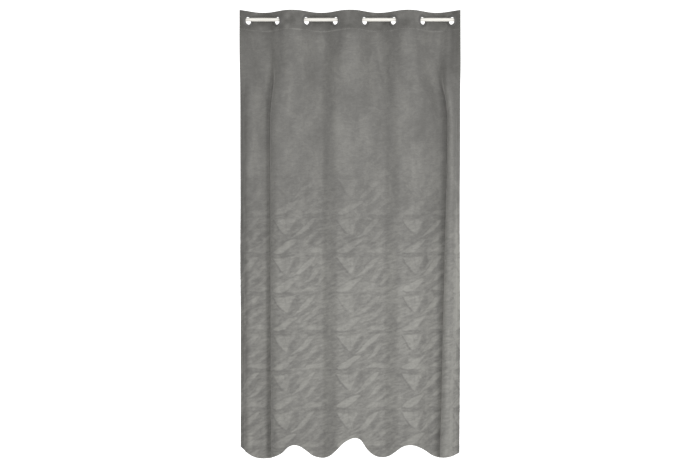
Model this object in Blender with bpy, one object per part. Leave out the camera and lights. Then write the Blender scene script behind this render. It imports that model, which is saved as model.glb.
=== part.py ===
"""Velvet eyelet curtain panel, hung on its rod.

The cloth weaves in front of and behind the rod. It is held as eight pleats, one for each eyelet,
which turn against each other at the fold lines between them, as the cloth does when it is drawn.
Metres. X runs along the rod, +Y to the wall behind the cloth, +Z up; the origin is on the rod's
axis, half way along the cloth.
"""

import math

import bmesh
import bpy
from mathutils import Matrix, Vector

# The flat cloth
CLOTH_WIDTH = 1.400  # edge to edge before it is hung
DROP = 2.400  # top edge to the lowest point of the hem
CLOTH_THICK = 0.0010
CREASE_GAP = 0.0003  # between one pleat's cloth and the next

# The header: cloth in front, stiffening tape, then the cloth turned over at the back
HEADER_DEPTH = 0.100
TAPE_THICK = 0.0006
TAPE_SHORT = 0.004  # the tape stops this far inside the header's top and bottom
LAYER_GAP = 0.0003

# Eyelets
EYELET_COUNT = 8
EDGE_MARGIN = 0.056  # from the end eyelets to the side edges, along the flat cloth
EYELET_BELOW_TOP = 0.052
BORE_RADIUS = 0.020
FLANGE_RADIUS = 0.033
FLANGE_HEIGHT = 0.0024
LIP_RADIUS = 0.0020  # rounding of the bore's front edge
BARREL_WALL = 0.0012
BARREL_PAST_CLIP = 0.0004  # the barrel's end stands out of the clip ring
CLIP_RADIUS = 0.031
CLIP_HEIGHT = 0.0016
SEAT_GAP = 0.0003  # ring to cloth, clip to barrel
HOLE_CLEARANCE = 0.0004  # barrel to the hole in the cloth
RING_SEGMENTS = 28

# How it hangs
FOLD_ANGLE = math.radians(41.8)  # cloth to rod, at an eyelet
FLAT_STRETCH = 0.072  # straight run of cloth that an eyelet clamps
FLAT_STEPS = 4  # facets in each half of the straight run, for the curve of the hem
ARC_STEPS = 6  # facets in each half of a fold
HANG_CLEARANCE = 0.0003  # bore to rod where the eyelet rests on it

# Hem
HEM_DEPTH = 0.030
SIDE_HEM_WIDTH = 0.025
SCALLOPS = (  # fold counted in pitches from the middle, rise of the hem at that front fold
    (-4, 0.074),
    (-2, 0.086),
    (0, 0.124),
    (2, 0.086),
    (4, 0.046),
)
SCALLOP_POWER = 1.35  # above 1 narrows the raised part of the hem

# Rod
ROD_RADIUS = 0.0095
ROD_WALL = 0.0010
ROD_INSIDE_EDGE = 0.016  # the rod ends this far inside the cloth's side edges
ROD_SEGMENTS = 32

# Worked out from the sizes above
STACK = CLOTH_THICK + TAPE_THICK + CLOTH_THICK + 2 * LAYER_GAP
FRONT_FACE = -STACK / 2
CLOTH_LAYER = (FRONT_FACE, FRONT_FACE + CLOTH_THICK)
TAPE_LAYER = (CLOTH_LAYER[1] + LAYER_GAP, CLOTH_LAYER[1] + LAYER_GAP + TAPE_THICK)
FACING_LAYER = (TAPE_LAYER[1] + LAYER_GAP, STACK / 2)
HEM_LAYER = (CLOTH_LAYER[1] + LAYER_GAP, CLOTH_LAYER[1] + LAYER_GAP + CLOTH_THICK)
EYELET_PITCH = (CLOTH_WIDTH - 2 * EDGE_MARGIN) / (EYELET_COUNT - 1)  # along the flat cloth
FOLD_RADIUS = (EYELET_PITCH - FLAT_STRETCH) / (2 * FOLD_ANGLE)
BARREL_RADIUS = BORE_RADIUS + BARREL_WALL
MIDDLE = (EYELET_COUNT - 1) / 2


def half_fold(distance):
    """Plan offset (x, y) and cloth angle at this distance along the cloth from an eyelet."""
    flat = FLAT_STRETCH / 2
    along = min(distance, flat)
    x = along * math.cos(FOLD_ANGLE)
    y = along * math.sin(FOLD_ANGLE)
    turned = max(distance - flat, 0) / FOLD_RADIUS
    angle = FOLD_ANGLE - turned
    x += FOLD_RADIUS * (math.sin(FOLD_ANGLE) - math.sin(angle))
    y += FOLD_RADIUS * (math.cos(angle) - math.cos(FOLD_ANGLE))
    return x, y, angle


HUNG_PITCH = 2 * half_fold(EYELET_PITCH / 2)[0]
EDGE_X = MIDDLE * HUNG_PITCH + half_fold(EDGE_MARGIN)[0]


def slant(pleat):
    """+1 where the cloth runs from front to back as x grows, -1 where it comes forward."""
    return 1 if pleat % 2 == 0 else -1


def eyelet_x(pleat):
    return (pleat - MIDDLE) * HUNG_PITCH


def plan_point(pleat, run, offset):
    """Plan position at a run along a pleat's cloth from its eyelet, and an offset to the back."""
    x, y, angle = half_fold(abs(run))
    side = math.copysign(1, run)
    lean = slant(pleat) * angle
    return (
        eyelet_x(pleat) + side * x - offset * math.sin(lean),
        side * slant(pleat) * y + offset * math.cos(lean),
    )


def hem_rise(flat_x):
    """How far the hem is cut above its lowest point, at a place across the flat cloth."""
    rise = 0.0
    for fold, height in SCALLOPS:
        away = abs(flat_x / EYELET_PITCH - fold)
        if away < 1:
            rise += height * ((1 + math.cos(math.pi * away)) / 2) ** SCALLOP_POWER
    return rise


def bore_profile():
    """Inner outline of an eyelet as (radius, place along the eyelet's axis), front to back."""
    front = FRONT_FACE - SEAT_GAP - FLANGE_HEIGHT
    back = STACK / 2 + SEAT_GAP + CLIP_HEIGHT + BARREL_PAST_CLIP
    lip = [
        (
            BORE_RADIUS + LIP_RADIUS * (1 - math.cos(turn)),
            front + LIP_RADIUS * (1 - math.sin(turn)),
        )
        for turn in (math.radians(90), math.radians(45), 0)
    ]
    return lip + [(BORE_RADIUS, back - LIP_RADIUS / 2), (BORE_RADIUS + LIP_RADIUS / 4, back)]


def hang_offset():
    """Depth of the bore's centre under the rod's axis when the slanting eyelet rests on the rod."""
    facet = math.cos(math.pi / RING_SEGMENTS)  # a faceted bore is this much narrower mid-facet
    reach = ROD_RADIUS / math.cos(math.pi / ROD_SEGMENTS)

    def fits(offset):
        for radius, along in bore_profile():
            room = radius * facet - HANG_CLEARANCE
            shift = along / math.tan(FOLD_ANGLE)
            for step in range(90):
                turn = math.radians(4 * step)
                across = shift + reach / math.sin(FOLD_ANGLE) * math.cos(turn)
                up = offset + reach * math.sin(turn)
                if math.hypot(across, up) > room:
                    return False
        return True

    low, high = 0.0, BORE_RADIUS
    for _ in range(40):
        middle = (low + high) / 2
        if fits(middle):
            low = middle
        else:
            high = middle
    return low


EYELET_Z = -hang_offset()
TOP_Z = EYELET_Z + EYELET_BELOW_TOP
HEM_Z = TOP_Z - DROP


def material(name, colour, roughness, metallic=0.0):
    made = bpy.data.materials.new(name)
    made.use_nodes = True
    shader = made.node_tree.nodes["Principled BSDF"]
    shader.inputs["Base Color"].default_value = (*colour, 1)
    shader.inputs["Roughness"].default_value = roughness
    shader.inputs["Metallic"].default_value = metallic
    return made


def add_object(name, mesh, finish, parent=None, shift=Vector((0, 0, 0))):
    """Links a mesh made in world places, with its origin moved to its parent's joint axis."""
    mesh.transform(Matrix.Translation(-shift))
    mesh.materials.append(finish)
    made = bpy.data.objects.new(name, mesh)
    bpy.context.scene.collection.objects.link(made)
    made.parent = parent
    return made


def sheet_mesh(name, pleat, runs, layer, top, bottom):
    """A layer of hung cloth: upright walls over the runs, each edge a height or a function of run."""
    bm = bmesh.new()
    rings = []
    for run in runs:
        high = top(run) if callable(top) else top
        low = bottom(run) if callable(bottom) else bottom
        front = plan_point(pleat, run, layer[0])
        back = plan_point(pleat, run, layer[1])
        rings.append(
            [
                bm.verts.new((*front, high)),
                bm.verts.new((*back, high)),
                bm.verts.new((*back, low)),
                bm.verts.new((*front, low)),
            ]
        )
    for left, right in zip(rings, rings[1:]):
        for side in range(4):
            after = (side + 1) % 4
            bm.faces.new((left[side], left[after], right[after], right[side]))
    bm.faces.new(reversed(rings[0]))
    bm.faces.new(rings[-1])
    bmesh.ops.recalc_face_normals(bm, faces=bm.faces)
    mesh = bpy.data.meshes.new(name)
    bm.to_mesh(mesh)
    bm.free()
    return mesh


def turned_mesh(name, profile):
    """A closed profile of (radius, place along Y), turned about the Y axis."""
    bm = bmesh.new()
    outline = [bm.verts.new((radius, along, 0)) for radius, along in profile]
    edges = [bm.edges.new(pair) for pair in zip(outline, outline[1:] + outline[:1])]
    bmesh.ops.spin(
        bm,
        geom=outline + edges,
        cent=(0, 0, 0),
        axis=(0, 1, 0),
        angle=2 * math.pi,
        steps=RING_SEGMENTS,
        use_merge=True,
    )
    bmesh.ops.remove_doubles(bm, verts=bm.verts, dist=1e-6)
    bmesh.ops.recalc_face_normals(bm, faces=bm.faces)
    mesh = bpy.data.meshes.new(name)
    bm.to_mesh(mesh)
    bm.free()
    mesh.shade_smooth()
    mesh.set_sharp_from_angle(angle=math.radians(40))
    return mesh


def front_ring_profile():
    """The showing half: a domed flange in front of the cloth and a barrel through it."""
    bore = bore_profile()
    seat = FRONT_FACE - SEAT_GAP
    rim = (FLANGE_RADIUS - BORE_RADIUS) / 2
    crown = BORE_RADIUS + rim
    dome = [
        (crown + rim * math.sin(turn), seat - FLANGE_HEIGHT * math.cos(turn))
        for turn in (0, math.radians(35), math.radians(65), math.radians(90))
    ]
    return bore[::-1] + dome + [(BARREL_RADIUS, seat), (BARREL_RADIUS, bore[-1][1])]


def clip_ring_profile():
    """The back half, a shallow ring that snaps over the barrel."""
    seat = STACK / 2 + SEAT_GAP
    inner = BARREL_RADIUS + SEAT_GAP
    rim = CLIP_HEIGHT / 2
    return [
        (inner, seat),
        (CLIP_RADIUS, seat),
        (CLIP_RADIUS, seat + rim),
        (CLIP_RADIUS - rim, seat + CLIP_HEIGHT),
        (inner, seat + CLIP_HEIGHT),
    ]


def eyelet_place(pleat):
    """Moves a ring made about the Y axis to its pleat's eyelet, square to the cloth."""
    turn = Matrix.Rotation(slant(pleat) * FOLD_ANGLE, 4, "Z")
    return Matrix.Translation((eyelet_x(pleat), 0, EYELET_Z)) @ turn


def hole_cutter(pleat):
    radius = (BARREL_RADIUS + HOLE_CLEARANCE) / math.cos(math.pi / RING_SEGMENTS)
    bm = bmesh.new()
    bmesh.ops.create_cone(
        bm,
        cap_ends=True,
        segments=RING_SEGMENTS,
        radius1=radius,
        radius2=radius,
        depth=4 * STACK,
        matrix=Matrix.Rotation(math.radians(90), 4, "X"),
    )
    mesh = bpy.data.meshes.new(f"hole_cutter_{pleat + 1}")
    bm.to_mesh(mesh)
    bm.free()
    cutter = bpy.data.objects.new(mesh.name, mesh)
    bpy.context.scene.collection.objects.link(cutter)
    cutter.matrix_world = eyelet_place(pleat)
    cutter.hide_render = True
    cutter.display_type = "WIRE"
    return cutter


def punch(sheet, cutter):
    hole = sheet.modifiers.new("eyelet hole", "BOOLEAN")
    hole.operation = "DIFFERENCE"
    hole.solver = "EXACT"
    hole.object = cutter


def run_limits(pleat):
    """Where a pleat's cloth starts and ends, measured along it from its eyelet."""
    fold = EYELET_PITCH / 2 - CREASE_GAP / 2
    start = -EDGE_MARGIN if pleat == 0 else -fold
    end = EDGE_MARGIN if pleat == EYELET_COUNT - 1 else fold
    return start, end


def stations(start, end):
    """Runs at which the cloth's walls are cut into facets, from start to end."""
    flat = FLAT_STRETCH / 2
    arc = EYELET_PITCH / 2 - flat
    marks = [flat * count / FLAT_STEPS for count in range(FLAT_STEPS)]
    marks += [flat + arc * count / ARC_STEPS for count in range(ARC_STEPS)]
    both = {side * mark for mark in marks for side in (-1, 1)}
    return [start, *sorted(run for run in both if start < run < end), end]


def joint_axis(pleat):
    """Plan place of the axis that a pleat turns on: its eyelet first, then the fold before it."""
    if pleat == 0:
        return Vector((eyelet_x(0), 0, 0))
    before = pleat - 1
    x, _ = plan_point(before, EYELET_PITCH / 2, 0)
    inside = -slant(before) * STACK / 2  # on the hollow side of the fold
    _, y = plan_point(before, EYELET_PITCH / 2, inside)
    return Vector((x, y, 0))


def build_pleat(pleat, parent, finishes):
    number = pleat + 1
    start, end = run_limits(pleat)
    runs = stations(start, end)
    axis = joint_axis(pleat)
    empty = bpy.data.objects.new(f"pleat_axis_{number}", None)
    bpy.context.scene.collection.objects.link(empty)
    empty.parent = parent
    empty.location = axis - (joint_axis(pleat - 1) if parent else Vector((0, 0, 0)))
    middle = (pleat - MIDDLE) * EYELET_PITCH

    def hem(run):
        return HEM_Z + hem_rise(middle + run)

    def hem_top(run):
        return hem(run) + HEM_DEPTH

    header_low = TOP_Z - HEADER_DEPTH
    layers = {
        "cloth": (runs, CLOTH_LAYER, TOP_Z, hem, "velvet"),
        "header_tape": (runs, TAPE_LAYER, TOP_Z - TAPE_SHORT, header_low + TAPE_SHORT, "tape"),
        "header_facing": (runs, FACING_LAYER, TOP_Z, header_low, "velvet"),
        "hem_facing": (runs, HEM_LAYER, hem_top, hem, "velvet"),
    }
    cutter = hole_cutter(pleat)
    for name, (over, layer, top, bottom, finish) in layers.items():
        mesh = sheet_mesh(f"{name}_{number}", pleat, over, layer, top, bottom)
        sheet = add_object(mesh.name, mesh, finishes[finish], empty, axis)
        if name != "hem_facing":
            punch(sheet, cutter)

    for name, profile in (("eyelet_front", front_ring_profile()), ("eyelet_clip", clip_ring_profile())):
        mesh = turned_mesh(f"{name}_{number}", profile)
        mesh.transform(eyelet_place(pleat))
        add_object(mesh.name, mesh, finishes["eyelet"], empty, axis)

    for side, edge in (("left", start), ("right", end)):
        if abs(edge) != EDGE_MARGIN:
            continue
        inner = edge - math.copysign(SIDE_HEM_WIDTH, edge)
        over = stations(min(edge, inner), max(edge, inner))
        top = header_low - LAYER_GAP
        mesh = sheet_mesh(
            f"side_hem_{side}", pleat, over, HEM_LAYER, top, lambda run: hem_top(run) + LAYER_GAP
        )
        add_object(mesh.name, mesh, finishes["velvet"], empty, axis)
    return empty


def build_rod(finish):
    half = EDGE_X - ROD_INSIDE_EDGE
    bm = bmesh.new()
    rings = []
    for radius, x in (
        (ROD_RADIUS, -half),
        (ROD_RADIUS, half),
        (ROD_RADIUS - ROD_WALL, half),
        (ROD_RADIUS - ROD_WALL, -half),
    ):
        turns = [2 * math.pi * step / ROD_SEGMENTS for step in range(ROD_SEGMENTS)]
        rings.append([bm.verts.new((x, radius * math.cos(t), radius * math.sin(t))) for t in turns])
    for ring, after in zip(rings, rings[1:] + rings[:1]):
        for step in range(ROD_SEGMENTS):
            following = (step + 1) % ROD_SEGMENTS
            bm.faces.new((ring[step], ring[following], after[following], after[step]))
    bmesh.ops.recalc_face_normals(bm, faces=bm.faces)
    mesh = bpy.data.meshes.new("curtain_rod")
    bm.to_mesh(mesh)
    bm.free()
    mesh.shade_smooth()
    mesh.set_sharp_from_angle(angle=math.radians(40))
    add_object(mesh.name, mesh, finish)


def main():
    for old in list(bpy.data.objects):
        bpy.data.objects.remove(old)
    finishes = {
        "velvet": material("grey_velvet", (0.205, 0.200, 0.190), 0.85),
        "tape": material("header_buckram", (0.62, 0.61, 0.58), 0.90),
        "eyelet": material("grey_moulded_eyelet", (0.115, 0.112, 0.107), 0.45),
    }
    build_rod(material("satin_white_rod", (0.76, 0.75, 0.71), 0.40))
    parent = None
    for pleat in range(EYELET_COUNT):
        parent = build_pleat(pleat, parent, finishes)


main()
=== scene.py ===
import math

import bpy
import numpy as np
from mathutils import Matrix, Vector


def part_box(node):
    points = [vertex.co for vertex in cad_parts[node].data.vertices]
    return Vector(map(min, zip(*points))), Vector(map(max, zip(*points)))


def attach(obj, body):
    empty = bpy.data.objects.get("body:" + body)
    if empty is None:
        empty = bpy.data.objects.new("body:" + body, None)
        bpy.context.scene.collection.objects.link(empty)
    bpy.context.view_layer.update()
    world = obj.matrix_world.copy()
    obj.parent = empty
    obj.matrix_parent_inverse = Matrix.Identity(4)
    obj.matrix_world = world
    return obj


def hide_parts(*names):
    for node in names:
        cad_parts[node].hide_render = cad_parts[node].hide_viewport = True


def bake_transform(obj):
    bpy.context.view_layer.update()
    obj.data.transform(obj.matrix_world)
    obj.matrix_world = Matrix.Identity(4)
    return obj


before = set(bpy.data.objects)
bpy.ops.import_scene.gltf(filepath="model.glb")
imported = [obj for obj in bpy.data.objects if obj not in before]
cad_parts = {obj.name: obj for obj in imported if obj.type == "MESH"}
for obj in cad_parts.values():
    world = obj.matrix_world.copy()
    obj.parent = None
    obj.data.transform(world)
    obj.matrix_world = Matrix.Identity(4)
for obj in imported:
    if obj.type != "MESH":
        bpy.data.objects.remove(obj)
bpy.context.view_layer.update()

print("frame loaded:", len(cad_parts), "nodes")

# the cloth as it was cut, in metres
panel = {
    "width": 1.400,
    "drop": 2.400,
    "edgeMargin": 0.056,  # side edge to the end eyelet
    "header": 0.100,
    "eyeletBelowTop": 0.052,
    "hem": 0.030,
    "thick": 0.0010,
    "stack": 0.0032,  # cloth, tape and facing together
    "eyelets": 8,
}
panel["pitch"] = (panel["width"] - 2 * panel["edgeMargin"]) / (panel["eyelets"] - 1)
panel["outer"] = (panel["stack"] - panel["thick"]) / 2  # the outer layers' middle from the header's
eyeletPlaces = [panel["edgeMargin"] + panel["pitch"] * k for k in range(panel["eyelets"])]
pieceEnds = [0] + eyeletPlaces + [panel["width"]]  # where the pieces of cloth meet on the cut
room = {"floorBelowHem": 0.10, "cameraBack": 6.15, "cameraZ": -1.1475, "viewWidth": 3.757}
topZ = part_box("cloth_1")[1][2]
hemZ = topZ - panel["drop"]
eyeletZ = (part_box("eyelet_clip_1")[0][2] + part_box("eyelet_clip_1")[1][2]) / 2


# small helpers

def smooth(low, high, value):
    t = np.clip((value - low) / (high - low), 0, 1)
    return t * t * (3 - 2 * t)


def linear(hexColour):
    parts = [int(hexColour[i:i + 2], 16) / 255 for i in (1, 3, 5)]
    return tuple(c / 12.92 if c <= 0.04045 else ((c + 0.055) / 1.055) ** 2.4 for c in parts) + (1,)


def softNoise(a, b, seed):
    # smooth lattice noise from -1 to 1; a and b are counted in lattice cells
    cells = 256
    lattice = np.random.RandomState(seed).uniform(-1, 1, (cells, cells))
    ia, ib = np.floor(a).astype(int), np.floor(b).astype(int)
    fa, fb = a - ia, b - ib
    fa, fb = fa * fa * (3 - 2 * fa), fb * fb * (3 - 2 * fb)

    def at(i, j):
        return lattice[(ia + i) % cells, (ib + j) % cells]

    low = at(0, 0) * (1 - fa) + at(1, 0) * fa
    high = at(0, 1) * (1 - fa) + at(1, 1) * fa
    return low * (1 - fb) + high * fb


def setNode(tree, node, settings=None, values=None, links=None, stops=None):
    # a node's own settings, its inputs' values, what is linked into them, and a ramp's colours
    for key, value in (settings or {}).items():
        setattr(node, key, value)
    for key, value in (values or {}).items():
        node.inputs[key].default_value = value
    for key, source in (links or {}).items():
        tree.links.new(source, node.inputs[key])
    for number, (place, colour) in enumerate(stops or []):
        band = node.color_ramp.elements
        element = band[number] if number < len(band) else band.new(place)
        element.position, element.color = place, linear(colour)
    return node


def addNode(tree, kind, *given, **named):
    return setNode(tree, tree.nodes.new(kind), *given, **named)


def newMaterial(name):
    made = bpy.data.materials.new(name)
    made.use_nodes = True
    return made, made.node_tree, made.node_tree.nodes["Principled BSDF"]


def linked(name, data):
    made = bpy.data.objects.new(name, data)
    bpy.context.scene.collection.objects.link(made)
    return made


def meshObject(name, verts, faces, materials=(), faceMaterial=None):
    mesh = bpy.data.meshes.new(name)
    mesh.from_pydata([tuple(v) for v in verts], [], [tuple(int(i) for i in f) for f in faces])
    for material in materials:
        mesh.materials.append(material)
    if faceMaterial is not None:
        mesh.polygons.foreach_set("material_index", faceMaterial)
    mesh.shade_smooth()
    return linked(name, mesh)


# materials

def velvetMaterial():
    # embossed polyester velvet: upright pile that goes pale at a glancing look, with leaf shapes
    # pressed flat, which catch the light as paler, smoother patches
    made, tree, shader = newMaterial("embossedGreyVelvet")
    uv = addNode(tree, "ShaderNodeUVMap", {"uv_map": "cutCloth"}).outputs[0]  # metres across and down
    clouds = {  # turn in degrees, cells to the metre, detail, roughness and distortion
        # brushed marks about 70 mm across and 200 mm long, where hands have moved the pile
        "marks": (0, (14, 5, 1), 3.0, 0.60, 0.6),
        # crushed patches between them, 20 to 40 mm across
        "patches": (24, (26, 44, 1), 4.0, 0.68, 1.2),
        # fine lines pressed between the shapes, about 4 mm apart
        "lines": (17, (70, 240, 1), 2.0, 0.55, 1.4),
        # pile tufts: real ones are under 1 mm, drawn at 3 mm to show
        "tufts": (0, (330, 330, 330), 2.0, 0.70, 0.0),
    }
    spots = {}
    for name, (turn, cells, detail, rough, distortion) in clouds.items():
        place = addNode(
            tree, "ShaderNodeMapping", values={"Rotation": (0, 0, math.radians(turn)), "Scale": cells},
            links={"Vector": uv},
        )
        spots[name] = addNode(
            tree, "ShaderNodeTexNoise",
            values={"Scale": 1.0, "Detail": detail, "Roughness": rough, "Distortion": distortion},
            links={"Vector": place.outputs[0]},
        ).outputs["Fac"]
    # the lines show clearly only on the lower half of the panel
    cut = addNode(tree, "ShaderNodeSeparateXYZ", links={0: uv})
    lower = addNode(
        tree, "ShaderNodeMapRange", links={"Value": cut.outputs["Y"]},
        values={"From Min": 0.6, "From Max": 1.4, "To Min": 0.20, "To Max": 0.30},
    )
    # the cloth's tone: pressed pattern and blotches, with painted shade over the header and edges and painted
    # light over the lower half, the seam, the right fold and two creases
    toneAndPaintedLight = addNode(tree, "ShaderNodeAttribute", {"attribute_name": "toneAndPaintedLight"}).outputs["Fac"]
    tone = addNode(tree, "ShaderNodeMath", {"operation": "MULTIPLY"}, {1: 0.30}, {0: toneAndPaintedLight})
    tone = addNode(
        tree, "ShaderNodeMath", {"operation": "MULTIPLY_ADD"},
        links={0: spots["lines"], 1: lower.outputs["Result"], 2: tone.outputs[0]},
    )
    for name, share in (("patches", 0.34), ("marks", 0.34), ("tufts", 0.14)):
        tone = addNode(
            tree, "ShaderNodeMath", {"operation": "MULTIPLY_ADD"},
            values={1: share}, links={0: spots[name], 2: tone.outputs[0]},
        )
    colour = addNode(
        tree, "ShaderNodeValToRGB", links={"Fac": tone.outputs[0]},
        stops=[(0.30, "#595855"), (0.60, "#706f6c"), (0.95, "#8f8e89")],
    )
    roughness = addNode(
        tree, "ShaderNodeMapRange", values={"To Min": 0.86, "To Max": 0.62}, links={"Value": toneAndPaintedLight},
    )
    bump = addNode(
        tree, "ShaderNodeBump", values={"Strength": 0.35, "Distance": 0.0006},
        links={"Height": spots["tufts"]},
    )
    setNode(
        tree, shader,
        values={
            "Specular IOR Level": 0.25, "Sheen Weight": 0.55, "Sheen Roughness": 0.45,
            "Sheen Tint": linear("#e6e4df"),
        },
        links={"Base Color": colour.outputs[0], "Roughness": roughness.outputs[0], "Normal": bump.outputs[0]},
    )
    return made


def reverseMaterial():
    # the velvet's knitted ground: matt, a little browner, with fine wales 1.6 mm apart
    made, tree, shader = newMaterial("knittedVelvetReverse")
    uv = addNode(tree, "ShaderNodeUVMap", {"uv_map": "cutCloth"}).outputs[0]
    wales = addNode(
        tree, "ShaderNodeTexWave", {"wave_type": "BANDS", "bands_direction": "X"},
        {"Scale": 98.0, "Distortion": 0.8, "Detail": 1.0}, {"Vector": uv},
    ).outputs["Fac"]
    cloudy = addNode(tree, "ShaderNodeTexNoise", values={"Scale": 9.0, "Detail": 3.0}, links={"Vector": uv})
    both = addNode(
        tree, "ShaderNodeMath", {"operation": "MULTIPLY_ADD"},
        values={1: 0.35}, links={0: wales, 2: cloudy.outputs["Fac"]},
    )
    colour = addNode(
        tree, "ShaderNodeValToRGB", links={"Fac": both.outputs[0]},
        stops=[(0.25, "#62615d"), (1.0, "#7d7b76")],
    )
    bump = addNode(
        tree, "ShaderNodeBump", values={"Strength": 0.3, "Distance": 0.0003}, links={"Height": wales},
    )
    setNode(
        tree, shader, values={"Roughness": 0.9, "Specular IOR Level": 0.2, "Sheen Weight": 0.15},
        links={"Base Color": colour.outputs[0], "Normal": bump.outputs[0]},
    )
    return made


def threadMaterial():
    # spun polyester sewing thread, a shade paler than the velvet, with a 0.5 mm twist
    made, tree, shader = newMaterial("spunPolyesterThread")
    place = addNode(tree, "ShaderNodeTexCoord").outputs["Object"]
    twist = addNode(
        tree, "ShaderNodeTexWave", {"bands_direction": "DIAGONAL"}, {"Scale": 600.0}, {"Vector": place},
    )
    colour = addNode(
        tree, "ShaderNodeValToRGB", links={"Fac": twist.outputs["Fac"]},
        stops=[(0.0, "#8a8985"), (1.0, "#a5a39e")],
    )
    setNode(
        tree, shader, values={"Roughness": 0.55, "Sheen Weight": 0.2},
        links={"Base Color": colour.outputs[0]},
    )
    return made


def eyeletMaterial():
    # moulded ABS ring in a grey close to the cloth, satin from the mould, with faint handling marks
    made, tree, shader = newMaterial("greyMouldedEyelet")
    place = addNode(tree, "ShaderNodeTexCoord").outputs["Object"]
    grain = addNode(tree, "ShaderNodeTexNoise", None, {"Scale": 900.0, "Detail": 2.0}, {"Vector": place})
    marks = addNode(
        tree, "ShaderNodeTexNoise", values={"Scale": 60.0, "Detail": 4.0, "Distortion": 1.0},
        links={"Vector": place},
    ).outputs["Fac"]
    colour = addNode(
        tree, "ShaderNodeValToRGB", links={"Fac": marks}, stops=[(0.3, "#5b5a58"), (0.7, "#656462")],
    )
    roughness = addNode(
        tree, "ShaderNodeMapRange", values={"To Min": 0.38, "To Max": 0.52}, links={"Value": marks},
    )
    bump = addNode(
        tree, "ShaderNodeBump", values={"Strength": 0.12, "Distance": 0.0001},
        links={"Height": grain.outputs["Fac"]},
    )
    setNode(
        tree, shader, values={"IOR": 1.53},
        links={"Base Color": colour.outputs[0], "Roughness": roughness.outputs[0], "Normal": bump.outputs[0]},
    )
    return made


def rodMaterial():
    # steel tube, powder coated warm white: fine orange peel 1.5 mm across, rings' rub marks along it
    made, tree, shader = newMaterial("powderCoatedSteelTube")
    place = addNode(tree, "ShaderNodeTexCoord").outputs["Object"]
    peel = addNode(tree, "ShaderNodeTexNoise", None, {"Scale": 650.0, "Detail": 1.0}, {"Vector": place})
    along = addNode(tree, "ShaderNodeMapping", values={"Scale": (18, 180, 180)}, links={"Vector": place})
    rubs = addNode(
        tree, "ShaderNodeTexNoise", values={"Scale": 1.0, "Detail": 3.0}, links={"Vector": along.outputs[0]},
    ).outputs["Fac"]
    colour = addNode(
        tree, "ShaderNodeValToRGB", links={"Fac": rubs}, stops=[(0.3, "#e4e1d9"), (0.7, "#f1efe9")],
    )
    roughness = addNode(
        tree, "ShaderNodeMapRange", values={"To Min": 0.28, "To Max": 0.46}, links={"Value": rubs},
    )
    bump = addNode(
        tree, "ShaderNodeBump", values={"Strength": 0.08, "Distance": 0.0001},
        links={"Height": peel.outputs["Fac"]},
    )
    setNode(
        tree, shader,
        links={"Base Color": colour.outputs[0], "Roughness": roughness.outputs[0], "Normal": bump.outputs[0]},
    )
    return made


velvet = velvetMaterial()
reverse = reverseMaterial()
thread = threadMaterial()
eyeletFinish = eyeletMaterial()
rodFinish = rodMaterial()
print("materials made")


# how the cloth hangs

hang = {
    "foldAngle": math.radians(41.8),  # cloth to rod at an eyelet
    "flat": 0.072,  # straight run through an eyelet
    "easeFrom": 0.12,  # below here the pleats leave the eyelets' rule
    "easeTo": 0.62,
    "roundness": 0.010,  # how softly one lean turns into the next, along the cloth
    # lower down each pleat goes back gently and comes forward steeply; each lean is its length along
    # the cloth at half height, its length at the hem, and its angle to the rod in degrees at both
    "leans": (
        (0.060, 0.066, -48, -46), (0.123, 0.126, 18, 17), (0.043, 0.044, -84, -86), (0.042, 0.044, -37, -34),
        (0.119, 0.119, 6, 6), (0.125, 0.125, 19, 18), (0.089, 0.089, -24, -24), (0.139, 0.139, 7, 7),
        (0.116, 0.115, 15, 15), (0.082, 0.081, -22, -22), (0.112, 0.104, 6, 6), (0.119, 0.082, 22, 25),
        (0.050, 0.056, -13, -9), (0.056, 0.047, -102, -94), (0.030, 0.034, -42, -32), (0.070, 0.109, 48, 41),
    ),
    "leanFrom": 0.80,  # depths between which the leans change to their lengths at the hem
    "leanTo": 2.35,
}

fineStep = 0.001  # the cut is sampled at each millimetre
fineS = np.linspace(0, panel["width"], int(round(panel["width"] / fineStep)) + 1)


def headerSlope():
    place = np.clip(np.round((fineS - panel["edgeMargin"]) / panel["pitch"]), 0, panel["eyelets"] - 1)
    away = np.abs(fineS - panel["edgeMargin"] - place * panel["pitch"])
    radius = (panel["pitch"] - hang["flat"]) / (2 * hang["foldAngle"])
    slope = hang["foldAngle"] - np.clip(away - hang["flat"] / 2, 0, None) / radius
    return np.where(place % 2 == 0, slope, -slope)


def lowerSlope(depth):
    high, low, anglesHigh, anglesLow = np.array(hang["leans"]).T
    part = np.clip((depth - hang["leanFrom"]) / (hang["leanTo"] - hang["leanFrom"]), 0, 1)
    lengths = high * (1 - part) + low * part
    angles = anglesHigh * (1 - part) + anglesLow * part
    ends = np.cumsum(lengths) * panel["width"] / lengths.sum()
    slope = np.radians(angles)[np.clip(np.searchsorted(ends, fineS), 0, len(angles) - 1)]
    far = 45  # samples each way
    reach = np.arange(-far, far + 1) * fineStep
    weights = np.exp(-0.5 * (reach / hang["roundness"]) ** 2)
    padded = np.pad(slope, far, mode="edge")
    return np.convolve(padded, weights / weights.sum(), mode="valid")


def along(values):
    # running integral over the cut, from the left edge
    steps = (values[..., 1:] + values[..., :-1]) / 2 * fineStep
    start = np.zeros(values.shape[:-1] + (1,))
    return np.concatenate([start, np.cumsum(steps, axis=-1)], axis=-1)


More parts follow.
